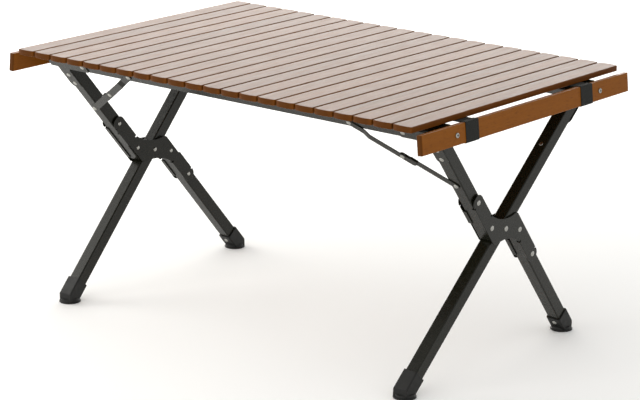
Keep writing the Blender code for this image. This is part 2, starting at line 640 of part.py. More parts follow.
# The moving groups hang from empties on their joints' axes
fold_axis = bpy.data.objects.new("frame_fold_axis", None)
fold_axis.location = HUB
lift_axis = bpy.data.objects.new("top_lift_axis", None)
lift_axis.location = (0, 0, SLAT_UNDER)
for empty in (fold_axis, lift_axis):
    parts.objects.link(empty)
bpy.context.view_layer.update()
TOP_NAMES = ("slat_", "end_board_", "webbing_strap_", "board_screw_")
BACK_NAMES = ("back_rail", "leg_bracket_back", "foot_boot_front", "leg_left_continuous",
              "leg_right_continuous")
for obj in list(parts.objects):
    if obj.name.startswith(TOP_NAMES):
        obj.parent = lift_axis
        obj.matrix_parent_inverse = lift_axis.matrix_world.inverted()
    elif obj.name.startswith(BACK_NAMES):
        obj.parent = fold_axis
        obj.matrix_parent_inverse = fold_axis.matrix_world.inverted()
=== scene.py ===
# Camping table with a roll-up slatted top on two folding steel frames.
# X is the long direction, Y the depth (front is -Y), Z is up, the floor is z = 0. Metres.
import math

import bmesh
import bpy
from mathutils import Matrix, Vector


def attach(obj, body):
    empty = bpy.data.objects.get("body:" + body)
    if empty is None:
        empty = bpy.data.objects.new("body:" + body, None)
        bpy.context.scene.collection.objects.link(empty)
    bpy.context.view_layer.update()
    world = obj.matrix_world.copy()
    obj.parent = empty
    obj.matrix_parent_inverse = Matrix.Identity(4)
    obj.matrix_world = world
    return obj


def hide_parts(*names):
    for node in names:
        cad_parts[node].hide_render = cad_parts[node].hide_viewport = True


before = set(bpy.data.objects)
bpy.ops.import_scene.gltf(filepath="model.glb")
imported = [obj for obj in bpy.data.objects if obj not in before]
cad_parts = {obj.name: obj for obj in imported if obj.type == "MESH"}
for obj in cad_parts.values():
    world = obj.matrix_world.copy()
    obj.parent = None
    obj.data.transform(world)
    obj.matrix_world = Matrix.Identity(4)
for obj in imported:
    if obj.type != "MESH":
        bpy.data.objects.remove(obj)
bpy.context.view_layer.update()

# Rails
# Two rectangular steel tubes that run across under the slats and carry them, one at the top of
# each frame. Roll-formed and seam-welded, open at the ends, and powder-coated with their frame.
HUB = Vector((0.0, 0.0, 0.331))     # the axis that the two frames fold about
HUB_HALF_SPAN = 0.550
LEG_SPLAY = 0.0480                  # legs lean outward going up, metres per metre
SIDES = (("left", -1), ("right", 1))
TUBE = 0.032
TUBE_WALL = 0.0015
TUBE_CORNER = 0.003
HALF = TUBE / 2
SPLIT_SHIFT = 0.036                 # a split leg's halves lie this far off the unbroken leg
RAIL_WIDE = 0.040
RAIL_HALF = 0.6115
GAP = 0.0003                        # between neighbouring pieces
DEBURR = 0.0003                     # easing of a sawn tube's rims
SHARP_ANGLE = math.radians(42)      # a bend less than this is shaded smooth
FLAT_AREA = 6e-5                    # a face larger than this, in square metres, is a flat one
ORDER = Vector((1.0, 7.3, 53.1))    # a slanting direction that a piece's parts are numbered along
POWDER_COAT_DARK = "11110a"
POWDER_COAT_LIGHT = "17170e"


def axes(x, y, z, origin):
    """The place with these three directions and this origin."""
    return Matrix.Translation(origin) @ Matrix((x, y, z)).transposed().to_4x4()


class Frame:
    """One U-frame in its sloping plane: up runs from feet to rail, out to the riveted face. Its legs
    lie out of the hub's plane by high above the hub and by low below it. Along up, its rail is at
    rail_w and its feet are at foot_w."""

    def __init__(self, name, lean, way, high, low, rail_w, foot_w):
        self.name = name
        self.up = Vector((0, way * math.cos(lean), math.sin(lean)))
        self.out = Vector((0, way * math.sin(lean), -math.cos(lean)))
        self.high = high
        self.low = low
        self.rail_w = rail_w
        self.foot_w = foot_w
        self.plane = axes((1, 0, 0), self.out, self.up, HUB)

    def leg_x(self, w):
        """Distance from the table's middle to a leg's centre, w up the frame from the hub."""
        return HUB_HALF_SPAN + LEG_SPLAY * w

    def leg(self, side):
        """Place of a leg: X across it, Y out, Z up along it."""
        stretch = math.sqrt(1 + LEG_SPLAY ** 2)
        across = Vector((side, -LEG_SPLAY * self.up.y, -LEG_SPLAY * self.up.z)) / stretch
        along = Vector((side * LEG_SPLAY, self.up.y, self.up.z)) / stretch
        return axes(across, self.out, along, (side * HUB_HALF_SPAN, 0, HUB.z))

    def face_on(self, side):
        """A flat outline's X goes to the distance from the middle, its Y to the height."""
        return self.plane @ axes((side, 0, 0), (0, 0, 1), (0, 1, 0), (0, 0, 0))


front = Frame("front", lean=math.radians(50.4), way=-1, high=SPLIT_SHIFT, low=-SPLIT_SHIFT,
              rail_w=0.39358, foot_w=-0.43406)
back = Frame("back", lean=math.radians(45.0), way=1, high=0.0, low=0.0,
             rail_w=0.39667, foot_w=-0.44053)


def linear(colour):
    """An sRGB hex colour as linear RGBA."""
    levels = [int(colour[i:i + 2], 16) / 255 for i in (0, 2, 4)]
    return [*(c / 12.92 if c <= 0.04045 else ((c + 0.055) / 1.055) ** 2.4 for c in levels), 1.0]


def new_material(name):
    material = bpy.data.materials.new(name)
    material.use_nodes = True
    return material, material.node_tree, material.node_tree.nodes["Principled BSDF"]


def add_node(tree, kind, inputs, **settings):
    """Adds a node. An input gets a number or colour, or a link from another node's socket."""
    node = tree.nodes.new("ShaderNode" + kind)
    for name, value in settings.items():
        setattr(node, name, value)
    for name, value in inputs.items():
        if isinstance(value, bpy.types.NodeSocket):
            tree.links.new(value, node.inputs[name])
        else:
            node.inputs[name].default_value = value
    return node


def powder_coated_steel():
    """Satin powder coat: a dark olive black with a soft sheen that the fine orange peel breaks up."""
    material, tree, shader = new_material("powder_coated_steel")
    where = add_node(tree, "TexCoord", {}).outputs["Object"]
    # the coat is a little thicker and paler in patches about 60 mm across
    patches = add_node(tree, "TexNoise", {"Vector": where, "Scale": 16.0, "Detail": 2.0})
    tone = add_node(tree, "Mix", {"Factor": patches.outputs["Fac"], "A": linear(POWDER_COAT_DARK),
                                  "B": linear(POWDER_COAT_LIGHT)}, data_type="RGBA")
    # orange peel is about 0.5 mm, and is drawn at 1.2 mm so that it shows
    peel = add_node(tree, "TexNoise", {"Vector": where, "Scale": 830.0, "Detail": 2.0})
    # rubbed spots, where handling has polished the coat, are 8 mm across
    rubs = add_node(tree, "TexNoise", {"Vector": where, "Scale": 125.0, "Detail": 4.0})
    rough = add_node(tree, "MapRange", {"Value": rubs.outputs["Fac"], "From Min": 0.35,
                                        "From Max": 0.65, "To Min": 0.22, "To Max": 0.32})
    bump = add_node(tree, "Bump", {"Height": peel.outputs["Fac"], "Strength": 0.04,
                                   "Distance": 0.0002})
    shader.inputs["Specular IOR Level"].default_value = 0.25
    tree.links.new(tone.outputs["Result"], shader.inputs["Base Color"])
    tree.links.new(rough.outputs["Result"], shader.inputs["Roughness"])
    tree.links.new(bump.outputs["Normal"], shader.inputs["Normal"])
    return material


POWDER_COAT = powder_coated_steel()


def place(bm, matrix):
    """Moves a shape to its place, and keeps its faces outward if that mirrors it."""
    bmesh.ops.transform(bm, matrix=matrix, verts=bm.verts)
    if matrix.determinant() < 0:
        bmesh.ops.reverse_faces(bm, faces=bm.faces)
    return bm


def block(size, centre=(0, 0, 0)):
    bm = bmesh.new()
    bmesh.ops.create_cube(bm, size=1.0)
    bmesh.ops.scale(bm, vec=size, verts=bm.verts)
    bmesh.ops.translate(bm, vec=centre, verts=bm.verts)
    return bm


def soften(bm, edges, size, segments):
    bmesh.ops.bevel(bm, geom=edges, offset=size, segments=segments, profile=0.5, affect="EDGES",
                    material=-1)


def upright_edges(bm):
    return [e for e in bm.edges if abs(e.verts[0].co.z - e.verts[1].co.z) > 1e-5]


def sharp_edges(bm, angle=40):
    bm.normal_update()
    return [e for e in bm.edges if e.is_manifold and e.calc_face_angle() > math.radians(angle)]


def box_tube(wide, deep, low, high):
    """Rectangular tube along Z, open at both ends, with rolled corners and a deburred cut."""
    bm = block((wide, deep, high - low), (0, 0, (low + high) / 2))
    soften(bm, upright_edges(bm), TUBE_CORNER, 4)
    bm.normal_update()
    bmesh.ops.delete(bm, geom=[f for f in bm.faces if abs(f.normal.z) > 0.9], context="FACES")
    bmesh.ops.solidify(bm, geom=bm.faces[:], thickness=TUBE_WALL)
    rims = [e for e in sharp_edges(bm) if abs(e.verts[0].co.z - e.verts[1].co.z) < 1e-6]
    soften(bm, rims, DEBURR, 1)
    return bm


def make_piece(name, bm, material):
    """A finished shape as an object at the origin: flat faces stay flat, and bends are smooth."""
    bm.verts.sort(key=lambda v: v.co.dot(ORDER))
    bm.edges.sort(key=lambda e: (e.verts[0].co + e.verts[1].co).dot(ORDER))
    bm.faces.sort(key=lambda f: f.calc_center_bounds().dot(ORDER))
    mesh = bpy.data.meshes.new(name)
    bm.to_mesh(mesh)
    bm.free()
    mesh.shade_smooth()
    mesh.set_sharp_from_angle(angle=SHARP_ANGLE)
    for face in mesh.polygons:
        face.use_smooth = face.area < FLAT_AREA
    mesh.materials.append(material)
    piece = bpy.data.objects.new(name, mesh)
    bpy.context.scene.collection.objects.link(piece)
    return piece


YZ_OUTLINE = axes((0, 1, 0), (0, 0, 1), (1, 0, 0), (0, 0, 0))
for each in (front, back):
    shape = box_tube(TUBE, RAIL_WIDE, -RAIL_HALF, RAIL_HALF)
    shift = Matrix.Translation((0, each.high, each.rail_w))
    rail = make_piece("rail_tube_" + each.name, place(shape, each.plane @ shift @ YZ_OUTLINE),
                      POWDER_COAT)
    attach(rail, each.name + "_frame")
    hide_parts(each.name + "_rail")

# Legs
# Square steel tube. The front frame's leg on each side is in two halves, joined by the hub plates,
# and the back frame's leg runs unbroken between them, so that the two fold side by side.
SPLIT_END = 0.018                   # hub axis to the near end of a split half
BELOW_RAIL = 0.0212                 # rail centre to a leg's upper end
for label, side in SIDES:
    for where, own, low, high, shift in (
            ("split_upper", front, SPLIT_END, front.rail_w - BELOW_RAIL, SPLIT_SHIFT),
            ("split_lower", front, front.foot_w, -SPLIT_END, -SPLIT_SHIFT),
            ("continuous", back, back.foot_w, back.rail_w - BELOW_RAIL, 0.0)):
        shape = place(box_tube(TUBE, TUBE, low, high),
                      own.leg(side) @ Matrix.Translation((0, shift, 0)))
        leg = make_piece("leg_tube_" + label + "_" + where, shape, POWDER_COAT)
        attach(leg, own.name + "_frame")
        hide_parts("leg_" + label + "_" + where)

# Hub plates
# Pressed steel, 2 mm thick, one on each side of the legs' crossing. Two arms with turned-down
# flanges grip the halves of the split leg, and small spacers hold the plates off the tubes.
PLATE = 0.0020
HUB_FACE = HALF + 0.0036            # leg centre to the plate's inner face
ARM_HALF = 0.0185
ARM_ROUND = ARM_HALF - 0.0010
ARM_END = 0.1635                    # hub axis to the end of an arm
FLANGE_LOW = 0.078
FLANGE_HIGH = 0.140
NOTCH_WIDE = 0.0044                 # relief cuts at the flanges' ends
NOTCH_DEEP = 0.0055
NOTCH_SHALLOW = 0.0034              # the same at the outer edges
NOTCH_ROUND = 0.0012
FLANGE_DEEP = 0.009
OUTER_LOW = 0.024                   # the outer plates' outer flanges run down to here
INNER_HIGH = 0.123                  # the inner plates' outer flanges end here
WAIST = (0.0029, 0.0242, 0.044)     # the corner between the arms, and the length of its rounding
NECK_ROUND = 0.002                  # below the inner notch
SHOULDER = (-0.0035, 0.008)         # an arm's outer corner at the hub: its height and rounding
DRAWN_IN = 0.004                    # the inner plates' shoulders stand in by this much
PLATE_EDGE = 0.0006
FLANGE_EDGE = 0.0005
SPACER_R = 0.010
PIVOT_PLAY = 0.001                  # between the pivot's spacers and the leg that turns there
CLAMPS = ((SPLIT_SHIFT, 0.049), (SPLIT_SHIFT, 0.145),
          (-SPLIT_SHIFT, -0.049), (-SPLIT_SHIFT, -0.145))
OVERLAP = 0.0002                    # shapes that make one piece run into each other by this much


def extruded(bm, faces):
    """Extrudes faces as one region, and returns the new corners, which have yet to be moved."""
    made = bmesh.ops.extrude_face_region(bm, geom=faces)["geom"]
    return [v for v in made if isinstance(v, bmesh.types.BMVert)]


def plate_shape(corners, thick, edge):
    """Sheet metal on z = 0, cut to corners (x, y, length of rounding) and eased at its rim."""
    bm = bmesh.new()
    verts = [bm.verts.new((x, y, 0)) for x, y, length in corners]
    bm.faces.new(verts)
    for vert, (x, y, length) in zip(verts, corners):
        if length:
            bmesh.ops.bevel(bm, geom=[vert], offset=length, segments=8, profile=0.5,
                            affect="VERTICES", material=-1)
    bmesh.ops.remove_doubles(bm, verts=bm.verts, dist=1e-6)
    bmesh.ops.translate(bm, vec=(0, 0, thick), verts=extruded(bm, bm.faces[:]))
    bmesh.ops.recalc_face_normals(bm, faces=bm.faces)
    soften(bm, sharp_edges(bm, 60), edge, 2)
    return bm


def together(shapes):
    """Several closed shapes as one piece."""
    bm = bmesh.new()
    for shape in shapes:
        mesh = bpy.data.meshes.new("shape")
        shape.to_mesh(mesh)
        shape.free()
        bm.from_mesh(mesh)
        bpy.data.meshes.remove(mesh)
    return bm


def round_bar(radius, low, high, segments=24):
    """A round bar along Z."""
    bm = bmesh.new()
    bmesh.ops.create_cone(bm, cap_ends=True, segments=segments, radius1=radius, radius2=radius,
                          depth=high - low)
    bmesh.ops.translate(bm, vec=(0, 0, (low + high) / 2), verts=bm.verts)
    return bm


arm_in = SPLIT_SHIFT - ARM_HALF
arm_out = SPLIT_SHIFT + ARM_HALF
# one arm's corners, from its outer edge round its end to the waist
arm_corners = [(arm_out, FLANGE_HIGH + OVERLAP, 0.0),
               (arm_out - NOTCH_SHALLOW, FLANGE_HIGH + OVERLAP, NOTCH_ROUND),
               (arm_out - NOTCH_SHALLOW, FLANGE_HIGH + NOTCH_WIDE, NOTCH_ROUND),
               (arm_out, FLANGE_HIGH + NOTCH_WIDE, 0.0),
               (arm_out, ARM_END, ARM_ROUND),
               (arm_in, ARM_END, ARM_ROUND),
               (arm_in, FLANGE_LOW, 0.0),
               (arm_in + NOTCH_DEEP, FLANGE_LOW, NOTCH_ROUND),
               (arm_in + NOTCH_DEEP, FLANGE_LOW - NOTCH_WIDE, NOTCH_ROUND),
               (arm_in, FLANGE_LOW - NOTCH_WIDE, NECK_ROUND),
               WAIST]
for label, side in SIDES:
    for where, way, drawn_in in (("outer", 1, 0.0), ("inner", -1, DRAWN_IN)):
        half_corners = arm_corners + [(drawn_in - arm_out, *SHOULDER)]
        if drawn_in:
            half_corners += [(drawn_in - arm_out, -FLANGE_LOW + drawn_in, NECK_ROUND),
                             (-arm_out, -FLANGE_LOW, 0.0)]
        plate_corners = half_corners + [(-v, -w, length) for v, w, length in half_corners]
        flat = Matrix.Translation((0, 0, HUB_FACE))
        stand = front.leg(side) @ Matrix.Diagonal((way, 1, 1, 1)) @ YZ_OUTLINE
        shapes = [place(plate_shape(plate_corners, PLATE, PLATE_EDGE), stand @ flat)]
        inner_flange = (FLANGE_LOW, FLANGE_HIGH)
        outer_flange = (OUTER_LOW, FLANGE_HIGH) if way == 1 else (FLANGE_LOW, INNER_HIGH)
        deep = FLANGE_DEEP + PLATE - 2 * OVERLAP
        for arm in (1, -1):
            for edge, (low, high) in ((arm, outer_flange), (-arm, inner_flange)):
                flange = block((PLATE, high - low, deep),
                               (arm * SPLIT_SHIFT + edge * (ARM_HALF - PLATE / 2 - OVERLAP / 2),
                                arm * (low + high) / 2, HUB_FACE + PLATE - 2 * OVERLAP - deep / 2))
                soften(flange, sharp_edges(flange), FLANGE_EDGE, 2)
                shapes.append(place(flange, stand))
        for v, w in CLAMPS:
            shapes.append(place(round_bar(SPACER_R, HALF + GAP, HUB_FACE + GAP),
                                stand @ Matrix.Translation((v, w, 0))))
        shapes.append(place(round_bar(SPACER_R, HALF + PIVOT_PLAY, HUB_FACE + GAP), stand))
        plate = make_piece("hub_side_plate_" + label + "_" + where, together(shapes), POWDER_COAT)
        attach(plate, "front_frame")
        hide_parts("hub_plate_" + label + "_" + where)

# Hub rivets
# Five on each hub: four clamp the split leg's halves between the plates, and the middle one is
# the pivot. Zinc-plated steel with domed heads, cold-set through plates, spacers and tube.
HUB_HEAD_R = 0.0066
HEAD_TALL = 0.0024
HUB_TAIL_R = 0.0050
HUB_TAIL_TALL = 0.0016
PIVOT_TAIL_R = 0.0054
PIVOT_TAIL_TALL = 0.0020
HUB_SHANK_R = 0.004
ZINC_DARK = "92918c"
ZINC_LIGHT = "b2b1ab"
TURN_X = Matrix.Rotation(math.radians(90), 4, "Y")


def zinc_plated_steel():
    """Bright zinc plating: a pale metal with soft reflections and a slightly uneven polish."""
    material, tree, shader = new_material("zinc_plated_steel")
    where = add_node(tree, "TexCoord", {}).outputs["Object"]
    # the plating's spangle and handling marks are about 1 mm across
    marks = add_node(tree, "TexNoise", {"Vector": where, "Scale": 900.0, "Detail": 3.0})
    rough = add_node(tree, "MapRange", {"Value": marks.outputs["Fac"], "From Min": 0.3,
                                        "From Max": 0.7, "To Min": 0.16, "To Max": 0.28})
    tone = add_node(tree, "Mix", {"Factor": marks.outputs["Fac"], "A": linear(ZINC_DARK),
                                  "B": linear(ZINC_LIGHT)}, data_type="RGBA")
    bump = add_node(tree, "Bump", {"Height": marks.outputs["Fac"], "Strength": 0.15,
                                   "Distance": 0.0002})
    shader.inputs["Metallic"].default_value = 1.0
    tree.links.new(tone.outputs["Result"], shader.inputs["Base Color"])
    tree.links.new(rough.outputs["Result"], shader.inputs["Roughness"])
    tree.links.new(bump.outputs["Normal"], shader.inputs["Normal"])
    return material


ZINC_STEEL = zinc_plated_steel()


def dome(radius, tall):
    """A domed rivet head that stands on z = 0."""
    bm = bmesh.new()
    bmesh.ops.create_uvsphere(bm, u_segments=20, v_segments=12, radius=1.0)
    bmesh.ops.delete(bm, geom=[v for v in bm.verts if v.co.z < -1e-5], context="VERTS")
    rim = [v for v in bm.verts if v.is_boundary]
    bm.faces.new(sorted(rim, key=lambda v: math.atan2(v.co.x, v.co.y)))
    bmesh.ops.recalc_face_normals(bm, faces=bm.faces)
    bmesh.ops.scale(bm, vec=(radius, radius, tall), verts=bm.verts)
    return bm


def rivet(radius, head_at, tail_at, tail_r, tail_tall, shank_r):
    """A set rivet along Z: its head at the top, its shank, and its flatter tail at the bottom."""
    head = place(dome(radius, HEAD_TALL), Matrix.Translation((0, 0, head_at)))
    shank = round_bar(shank_r, tail_at - OVERLAP, head_at + OVERLAP, 12)
    upside_down = Matrix.Translation((0, 0, tail_at)) @ Matrix.Rotation(math.pi, 4, "X")
    return [head, shank, place(dome(tail_r, tail_tall), upside_down)]


for label, side in SIDES:
    seat = HUB_FACE + PLATE
    shapes = []
    for v, w in CLAMPS:
        spot = front.leg(side) @ Matrix.Translation((0, v, w)) @ TURN_X
        shapes += [place(part, spot)
                   for part in rivet(HUB_HEAD_R, seat, -seat, HUB_TAIL_R, HUB_TAIL_TALL, HUB_SHANK_R)]
    pivot_spot = (Matrix.Translation((side * HUB_HALF_SPAN, 0, HUB.z))
                  @ Matrix.Rotation(math.radians(90 * side), 4, "Y"))
    seat += 2 * GAP
    shapes += [place(part, pivot_spot)
               for part in rivet(HUB_HEAD_R, seat, -seat, PIVOT_TAIL_R, PIVOT_TAIL_TALL, HUB_SHANK_R)]
    rivets = make_piece("hub_rivets_" + label, together(shapes), ZINC_STEEL)
    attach(rivets, "front_frame")
    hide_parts("hub_pivot_" + label)

# Leg brackets
# Flat pressed plates that tie each leg's top to its rail, with an ear along the rail. Two domed
# rivets go through the leg and one through the rail, each with its set tail on the far side.
BRACKET_HALF = 0.017
RIVET_HEAD_R = 0.0060
RIVET_TAIL_R = 0.0050
RIVET_TAIL_TALL = 0.0014
RIVET_SHANK_R = 0.003
BRACKET_RIVETS_DOWN = (0.043, 0.075)    # below the rail's centre
BRACKET_REACH = 0.076                   # leg centre to the rivet in the rail
BRACKET_EDGE = 0.0005


def through(own, side, x, w):
    """Place of a rivet through a frame, along its out direction."""
    return own.plane @ axes((0, 0, 1), (side, 0, 0), (0, 1, 0), (side * x, 0, w))


def frame_rivet(own, side, x, w, head_at, tail_at):
    """A domed rivet of the common size through a frame."""
    return [place(part, through(own, side, x, w))
            for part in rivet(RIVET_HEAD_R, head_at, tail_at, RIVET_TAIL_R, RIVET_TAIL_TALL,
                              RIVET_SHANK_R)]


for own in (front, back):
    face = own.high + HALF + GAP
    top_w = own.rail_w + RAIL_WIDE / 2 - PLATE
    low_w = own.rail_w - RAIL_WIDE / 2 + PLATE
    legs = [(own.leg_x(own.rail_w - down), own.rail_w - down) for down in BRACKET_RIVETS_DOWN]
    rail_spot = (own.leg_x(own.rail_w) - BRACKET_REACH, own.rail_w)
    inboard = rail_spot[0] - BRACKET_HALF + TUBE_CORNER
    bottom = legs[1]
    # each corner's place across and up the frame, and the length of its rounding
    corners = [(bottom[0] - BRACKET_HALF, bottom[1] - BRACKET_HALF, BRACKET_HALF),
               (bottom[0] + BRACKET_HALF, bottom[1] - BRACKET_HALF, BRACKET_HALF),
               (own.leg_x(top_w) + BRACKET_HALF, top_w, 0.003),
               (inboard, top_w, 0.004),
               (inboard, low_w, 0.006),
               (own.leg_x(low_w) - BRACKET_HALF, low_w, 0.008)]
    for label, side in SIDES:
        shape = place(plate_shape(corners, PLATE, BRACKET_EDGE),
                      own.face_on(side) @ Matrix.Translation((0, 0, face)))
        bracket = make_piece("bracket_plate_" + own.name + "_" + label, shape, POWDER_COAT)
        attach(bracket, own.name + "_frame")
        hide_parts("leg_bracket_" + own.name + "_" + label)
        shapes = []
        for x, w in legs + [rail_spot]:
            shapes += frame_rivet(own, side, x, w, face + PLATE, own.high - HALF - GAP)
        rivets = make_piece("bracket_rivets_" + own.name + "_" + label, together(shapes), ZINC_STEEL)
        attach(rivets, own.name + "_frame")

# Braces
# A folding strut from each front leg to its rail that holds it square: a flat link on the leg, and
# over it a joggled link with a turned-down stop tab. Both are 2 mm strip on domed rivets.
LINK_HALF = 0.0092
LINK_EDGE = 0.0004
BRACE_DROP = 0.172                  # rail centre to the brace's leg rivet
BRACE_REACH = 0.229                 # leg centre at the rail to the brace's rail rivet
BRACE_BELOW = 0.0032                # rail centre to the brace's rail rivet
BRACE_LINK = 0.136                  # leg rivet to middle rivet
BRACE_OVERLAP = 0.037               # how far the rail link runs past the middle rivet
BRACE_WASHER = 0.0024               # between the two links
WASHER_R = 0.0065
JOGGLE_FAR = 0.056                  # rail rivet to where the rail link starts to bend down
JOGGLE_NEAR = 0.040                 # and to where it lies flat on the rail
TAB_LONG = 0.019
TAB_MID = -0.0265                   # middle rivet to the middle of the stop tab
TAB_NECK = 0.003                    # the bend between strip and tab
TAB_EDGE = 0.0005


def strip_shape(low, high, thick):
    """Flat strip along X on z = 0, with round ends and eased edges."""
    bm = block((high - low, 2 * LINK_HALF, thick), ((low + high) / 2, 0, thick / 2))
    soften(bm, upright_edges(bm), LINK_HALF, 8)
    bmesh.ops.remove_doubles(bm, verts=bm.verts, dist=1e-6)
    soften(bm, sharp_edges(bm, 60), LINK_EDGE, 2)
    return bm


own = front                         # the back frame has no braces
under = own.high + HALF + GAP
over = under + PLATE + BRACE_WASHER
low_w = own.rail_w - BRACE_DROP
leg_spot = Vector((own.leg_x(low_w), low_w))
rail_spot = Vector((own.leg_x(own.rail_w) - BRACE_REACH, own.rail_w - BRACE_BELOW))
run = (rail_spot - leg_spot).normalized()
mid_spot = leg_spot + run * BRACE_LINK
length = (rail_spot - mid_spot).length
for label, side in SIDES:
    # from here the strip's X runs along the brace and its Z out of the frame
    along = own.face_on(side) @ axes((run.x, run.y, 0), (-run.y, run.x, 0), (0, 0, 1),
                                     (mid_spot.x, mid_spot.y, 0))
    shape = strip_shape(-BRACE_LINK - LINK_HALF, LINK_HALF, PLATE)
    link = make_piece("brace_strip_leg_" + own.name + "_" + label,
                      place(shape, along @ Matrix.Translation((0, 0, under))), POWDER_COAT)
    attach(link, own.name + "_frame")
    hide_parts("brace_leg_link_" + own.name + "_" + label)

    shape = strip_shape(-BRACE_OVERLAP, length + LINK_HALF, PLATE)
    for knee in (length - JOGGLE_FAR, length - JOGGLE_NEAR):
        bmesh.ops.bisect_plane(shape, geom=shape.verts[:] + shape.edges[:] + shape.faces[:],
                               dist=1e-6, plane_co=(knee, 0, 0), plane_no=(1, 0, 0))
    bmesh.ops.translate(shape, vec=(0, 0, under - over),
                        verts=[v for v in shape.verts if v.co.x > length - JOGGLE_NEAR - 1e-5])
    tab = block((TAB_LONG, PLATE, over + PLATE - under - OVERLAP),
                (TAB_MID, -LINK_HALF - GAP - PLATE / 2, (under - over + PLATE) / 2))
    soften(tab, sharp_edges(tab), TAB_EDGE, 2)
    neck = block((TAB_LONG, TAB_NECK, PLATE - 2 * OVERLAP), (TAB_MID, -LINK_HALF, PLATE / 2))
    shape = together([shape, tab, neck])
    link = make_piece("brace_strip_rail_" + own.name + "_" + label,
                      place(shape, along @ Matrix.Translation((0, 0, over))), POWDER_COAT)
    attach(link, own.name + "_frame")
    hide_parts("brace_rail_link_" + own.name + "_" + label)

    shapes = []
    for spot, head_at, tail_at in ((leg_spot, under + PLATE, own.high - HALF - GAP),
                                   (mid_spot, over + PLATE, under - GAP),
                                   (rail_spot, under + PLATE, own.high - HALF - GAP)):
        shapes += frame_rivet(own, side, spot.x, spot.y, head_at, tail_at)
    shapes.append(place(round_bar(WASHER_R, under + PLATE, over),
                        through(own, side, mid_spot.x, mid_spot.y)))
    rivets = make_piece("brace_rivets_" + own.name + "_" + label, together(shapes), ZINC_STEEL)
    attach(rivets, own.name + "_frame")

# Lone rivets
# Each back leg has one more rivet through it, level with those of the front legs' braces. It is a
# domed rivet of the same size, in zinc-plated steel.
for label, side in SIDES:
    low_w = back.rail_w - BRACE_DROP
    shapes = frame_rivet(back, side, back.leg_x(low_w), low_w, HALF, -HALF)
    rivets = make_piece("leg_rivet_" + label, together(shapes), ZINC_STEEL)
    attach(rivets, "back_frame")

# Foot boots
# Moulded polypropylene boots pushed on the legs' lower ends and held by a rivet: a square sleeve
# with an upright back, running down into a flat round pad with a rolled lip.
BOOT_WALL = 0.0029
BOOT_COVER = 0.037
BOOT_BACK = 0.018                   # pad centre to the boot's upright back
BOOT_BELOW = 0.06                   # leg's end to the sleeve's, before it is cut off inside the pad
BOOT_EDGE = 0.0008
BOOT_RIM_IN = 0.0009                # the rounded rim's share of the wall
BOOT_POCKET = 0.012                 # how deep the sleeve is open round the leg
BOOT_RIVET_UP = 0.022
BOOT_TAIL_R = 0.004
BOOT_SHANK_R = 0.0025
SLEEVE = TUBE + 2 * GAP + 2 * BOOT_WALL
SLEEVE_LOW = 0.002                  # the sleeve ends this high inside the pad
PAD_R = 0.027
PAD_TALL = 0.0095
PAD_STEP = 0.0036                   # from the pad's edge to the step above its lip
PAD_TAPER = 0.93
LIP_TALL = 0.0042
LIP_ROUND = 0.0014
PAD_AXIS_Z = 0.015                  # height on the leg's axis that stands over the pad's centre
BOOT_DARK = "10100f"
BOOT_LIGHT = "1b1b19"


def moulded_polypropylene():
    """Moulded plastic: near black with a dull, very finely pitted skin from the mould."""
    material, tree, shader = new_material("moulded_polypropylene")
    where = add_node(tree, "TexCoord", {}).outputs["Object"]
    # the mould's spark-eroded grain is 0.2 mm, and is drawn at 0.9 mm so that it shows
    grain = add_node(tree, "TexNoise", {"Vector": where, "Scale": 1100.0, "Detail": 2.0})
    # dust and scuffs from the ground, in patches of 12 mm
    scuffs = add_node(tree, "TexNoise", {"Vector": where, "Scale": 83.0, "Detail": 5.0})
    tone = add_node(tree, "Mix", {"Factor": scuffs.outputs["Fac"], "A": linear(BOOT_DARK),
                                  "B": linear(BOOT_LIGHT)}, data_type="RGBA")
    rough = add_node(tree, "MapRange", {"Value": scuffs.outputs["Fac"], "From Min": 0.3,
                                        "From Max": 0.7, "To Min": 0.48, "To Max": 0.62})
    bump = add_node(tree, "Bump", {"Height": grain.outputs["Fac"], "Strength": 0.3,
                                   "Distance": 0.0002})
    shader.inputs["Specular IOR Level"].default_value = 0.3
    tree.links.new(tone.outputs["Result"], shader.inputs["Base Color"])
    tree.links.new(rough.outputs["Result"], shader.inputs["Roughness"])
    tree.links.new(bump.outputs["Normal"], shader.inputs["Normal"])
    return material


